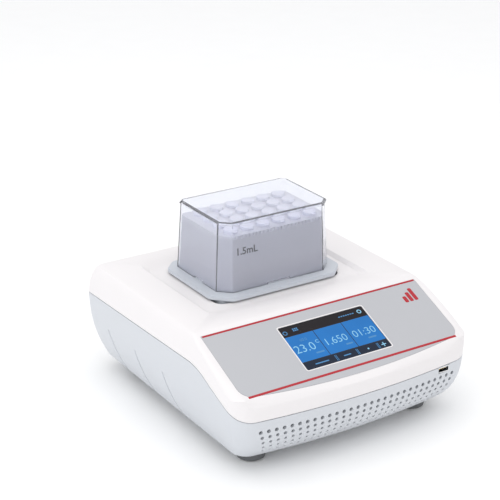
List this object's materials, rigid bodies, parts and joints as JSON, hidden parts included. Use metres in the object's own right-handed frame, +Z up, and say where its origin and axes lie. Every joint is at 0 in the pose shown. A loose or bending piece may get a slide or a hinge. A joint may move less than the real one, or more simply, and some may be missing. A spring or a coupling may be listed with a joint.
{
  "type": "dry block heater",
  "caption": "Benchtop dry block heater with orbital shaking, a sloping touch panel, a block of capped microtubes and a lift-off clear lid.",
  "frame": {"origin": "centre of the footprint, on the surface the feet stand on", "axes": "+X to the user's right, +Y towards the rear panel, +Z up"},
  "size_m": [0.264, 0.292, 0.185],
  "materials": {
    "cover_white": "fine satin moulded, warm white",
    "shell_grey": "fine satin moulded, cool light grey",
    "label_grey": "silk-screened membrane",
    "stripe_red": "printed red",
    "screen_glass": "touch glass over a lit display",
    "dark_plastic": "black moulded",
    "steel": "plated sheet steel",
    "zinc": "zinc plated fasteners",
    "bearing_steel": "ground bearing steel",
    "aluminium": "machined",
    "flange_paint": "light blue-grey powder coat",
    "block_grey": "bead-blasted, anodised light grey",
    "clear_lid": "clear polycarbonate",
    "clear_tube": "clear polypropylene",
    "foot_rubber": "grey rubber",
    "board_green": "circuit board",
    "part_black": "electronic parts",
    "motor_black": "black motor can",
    "insulation": "glass-fibre felt",
    "heater_orange": "polyimide heater film",
    "bronze": "sintered bronze",
    "fuse_glass": "glass fuse"
  },
  "bodies": {
    "housing": {"top_cover": "cover_white", "base_housing": "shell_grey", "control_label": "label_grey", "label_stripes": "stripe_red", "touch_glass": "screen_glass", "display_module": "steel", "display_bracket": "steel", "display_board": "board_green", "display_screws": "zinc", "usb_socket": "steel", "usb_board": "board_green", "rear_panel": "steel", "rear_panel_screws": "zinc", "mains_inlet": "dark_plastic", "inlet_pins": "zinc", "switch_frame": "dark_plastic", "fan_frame": "dark_plastic", "fan_screws": "zinc", "feet": "foot_rubber", "housing_screws": "zinc", "chassis_plate": "steel", "rating_plate": "label_grey", "motor_posts": "zinc", "motor_plate": "aluminium", "post_screws": "zinc", "drive_motor": "motor_black", "motor_screws": "zinc", "motor_bearing": "bearing_steel", "idler_bearings": "bearing_steel", "main_board": "board_green", "board_parts": "part_black", "board_screws": "zinc", "power_supply": "steel"},
    "drive": {"drive_shaft": "bearing_steel", "counterweight": "steel", "hub_screw": "zinc"},
    "platform": {"carrier_plate": "aluminium", "centre_bearing": "bearing_steel", "crank_bushes": "bronze", "insulation_pad": "insulation", "heater_mat": "heater_orange", "heater_plate": "aluminium", "platform_flange": "flange_paint", "flange_screws": "zinc", "heater_block": "block_grey", "block_screws": "zinc", "temperature_sensor": "zinc", "thermal_cutout": "part_black"},
    "idler_1": {"idler_crank_1": "aluminium"},
    "idler_2": {"idler_crank_2": "aluminium"},
    "idler_3": {"idler_crank_3": "aluminium"},
    "idler_4": {"idler_crank_4": "aluminium"},
    "tube_set": {"tube_rack": "clear_tube", "tubes": "clear_tube", "tube_caps": "clear_tube"},
    "lid": {"lid": "clear_lid"},
    "fan": {"fan_rotor": "dark_plastic"},
    "rocker": {"switch_rocker": "dark_plastic"},
    "fuse_tray": {"fuse_drawer": "dark_plastic", "fuses": "fuse_glass"}
  },
  "joints": [
    {"name": "drive_spin", "type": "hinge", "parent": "housing", "child": "drive", "pos_m": [0, 0.0413, 0.07], "axis": [0, 0, 1], "continuous": true},
    {"name": "platform_turn", "type": "hinge", "parent": "drive", "child": "platform", "pos_m": [0.0015, 0.0413, 0.09], "axis": [0, 0, 1], "continuous": true},
    {"name": "idler_1_spin", "type": "hinge", "parent": "housing", "child": "idler_1", "pos_m": [-0.055, 0.0113, 0.075], "axis": [0, 0, 1], "continuous": true},
    {"name": "idler_2_spin", "type": "hinge", "parent": "housing", "child": "idler_2", "pos_m": [0.055, 0.0113, 0.075], "axis": [0, 0, 1], "continuous": true},
    {"name": "idler_3_spin", "type": "hinge", "parent": "housing", "child": "idler_3", "pos_m": [0.055, 0.0713, 0.075], "axis": [0, 0, 1], "continuous": true},
    {"name": "idler_4_spin", "type": "hinge", "parent": "housing", "child": "idler_4", "pos_m": [-0.055, 0.0713, 0.075], "axis": [0, 0, 1], "continuous": true},
    {"name": "tubes_lift", "type": "slide", "parent": "platform", "child": "tube_set", "axis": [0, 0, 1], "range_m": [0, 0.045]},
    {"name": "lid_lift", "type": "slide", "parent": "tube_set", "child": "lid", "axis": [0, 0, 1], "range_m": [0, 0.08]},
    {"name": "fan_spin", "type": "hinge", "parent": "housing", "child": "fan", "pos_m": [-0.044, 0.1305, 0.051], "axis": [0, 1, 0], "continuous": true},
    {"name": "rocker_tip", "type": "hinge", "parent": "housing", "child": "rocker", "pos_m": [0.014, 0.1265, 0.051], "axis": [1, 0, 0], "range_deg": [-16, 0]},
    {"name": "fuse_pull", "type": "slide", "parent": "housing", "child": "fuse_tray", "axis": [0, 1, 0], "range_m": [0, 0.013]}
  ],
  "couplings": [
    {"joint": "drive_spin", "follows": "platform_turn", "ratio": -1},
    {"joint": "idler_1_spin", "follows": "platform_turn", "ratio": -1},
    {"joint": "idler_2_spin", "follows": "platform_turn", "ratio": -1},
    {"joint": "idler_3_spin", "follows": "platform_turn", "ratio": -1},
    {"joint": "idler_4_spin", "follows": "platform_turn", "ratio": -1}
  ]
}
